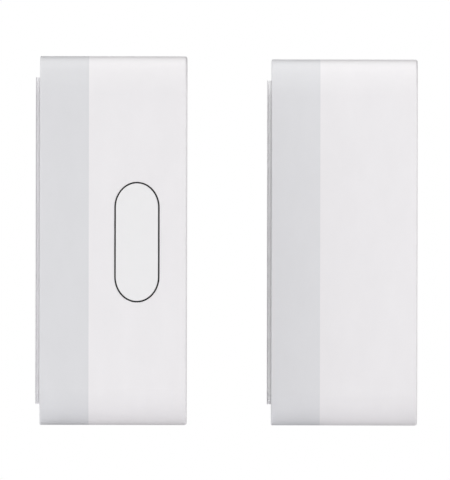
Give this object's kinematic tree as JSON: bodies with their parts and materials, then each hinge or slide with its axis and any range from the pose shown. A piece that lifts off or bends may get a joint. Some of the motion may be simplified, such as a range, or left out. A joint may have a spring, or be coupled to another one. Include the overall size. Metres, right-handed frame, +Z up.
{
  "type": "wireless door contact sensor",
  "caption": "Surface-mounted wireless door contact: a battery-powered reed transmitter with a pill-shaped side button, and its matching magnet unit.",
  "frame": {"origin": "centre of the transmitter's adhesive face, on the door frame", "axes": "+Z up along the long side of both housings; +Y into the door frame, so the housings stand out towards -Y; +X from the transmitter towards the magnet unit on the door leaf; the push button is in the transmitter's -X side"},
  "size_m": [0.0524, 0.0727, 0.07],
  "materials": {
    "cover_white": "fine moulded satin",
    "base_grey": "fine moulded satin",
    "button_white": "fine moulded satin",
    "snap_grey": "fine moulded satin",
    "adhesive_foam": "closed-cell foam tape",
    "cell_foam": "open foam",
    "carrier_plastic": "moulded matte",
    "holder_plastic": "moulded matte",
    "board_green": "solder mask",
    "shield_tin": "tinned sheet",
    "chip_black": "moulded epoxy",
    "crystal_metal": "plated can",
    "tantalum_yellow": "moulded epoxy",
    "led_clear": "clear epoxy",
    "ceramic_brown": "ceramic with tinned ends",
    "resistor_black": "ceramic with tinned ends",
    "aerial_gold": "plated track",
    "reed_glass": "green-tinted glass",
    "reed_metal": "plated ferrous strip",
    "contact_nickel": "nickel-plated sheet",
    "spring_nickel": "nickel-plated wire",
    "return_spring_steel": "spring steel wire",
    "cell_can": "bare can",
    "cell_sleeve": "printed film",
    "screw_zinc": "zinc-plated",
    "switch_body": "moulded matte",
    "switch_frame": "stamped sheet",
    "switch_terminal": "tinned strip",
    "seal_black": "silicone",
    "plunger_black": "moulded matte",
    "magnet_nickel": "nickel-plated magnet"
  },
  "bodies": {
    "sensor_base": {"sensor_base": "base_grey", "sensor_adhesive_pad": "adhesive_foam", "sensor_snap_arms": "snap_grey", "cell_foam_pad": "cell_foam"},
    "sensor_housing": {"sensor_cover": "cover_white", "cell_carrier": "carrier_plastic", "circuit_board": "board_green", "switch_body": "switch_body", "switch_frame": "switch_frame", "switch_terminals": "switch_terminal", "radio_shield": "shield_tin", "controller_chip": "chip_black", "crystal_can": "crystal_metal", "reservoir_capacitor": "tantalum_yellow", "status_led": "led_clear", "chip_capacitors": "ceramic_brown", "chip_resistors": "resistor_black", "printed_aerial": "aerial_gold", "reed_glass": "reed_glass", "reed_fixed_blade": "reed_metal", "reed_upper_lead": "reed_metal", "contact_positive": "contact_nickel", "contact_negative": "contact_nickel", "contact_bridge": "contact_nickel", "spring_upper": "spring_nickel", "spring_lower": "spring_nickel", "cell_rear": "cell_can", "cell_front": "cell_can", "cell_sleeves": "cell_sleeve", "carrier_screws": "screw_zinc", "board_screws": "screw_zinc", "button_return_springs": "return_spring_steel", "button_seal": "seal_black"},
    "button": {"button_cap": "button_white"},
    "switch_plunger": {"switch_plunger": "plunger_black"},
    "reed_blade": {"reed_moving_blade": "reed_metal"},
    "magnet_base": {"magnet_base": "base_grey", "magnet_adhesive_pad": "adhesive_foam", "magnet_snap_arms": "snap_grey", "magnet_holder": "holder_plastic", "bar_magnet": "magnet_nickel", "holder_screws": "screw_zinc"},
    "magnet_cover": {"magnet_cover": "cover_white"}
  },
  "joints": [
    {"name": "housing_release", "type": "slide", "parent": "sensor_base", "child": "sensor_housing", "axis": [0, -1, 0], "range_m": [0, 0.036], "deforming": ["sensor_snap_arms"]},
    {"name": "button_press", "type": "slide", "parent": "sensor_housing", "child": "button", "axis": [1, 0, 0], "range_m": [0, 0.0004], "stiffness_N_per_m": 2000, "springref_m": -0.0002, "deforming": ["button_return_springs"]},
    {"name": "switch_press", "type": "slide", "parent": "sensor_housing", "child": "switch_plunger", "axis": [1, 0, 0], "range_m": [0, 0.0004]},
    {"name": "reed_close", "type": "hinge", "parent": "sensor_housing", "child": "reed_blade", "pos_m": [-0.00623, -0.0243, 0.02585], "axis": [0, -1, 0], "range_deg": [0, 1], "stiffness_Nm_per_rad": 0.002, "springref_deg": -0.57},
    {"name": "door_opening", "type": "slide", "parent": "sensor_base", "child": "magnet_base", "axis": [0, -1, 0], "range_m": [-0.044, 0.04]},
    {"name": "magnet_cover_release", "type": "slide", "parent": "magnet_base", "child": "magnet_cover", "axis": [0, -1, 0], "range_m": [0, 0.03], "deforming": ["magnet_snap_arms"]}
  ],
  "couplings": [
    {"joint": "switch_press", "follows": "button_press", "ratio": 1}
  ]
}
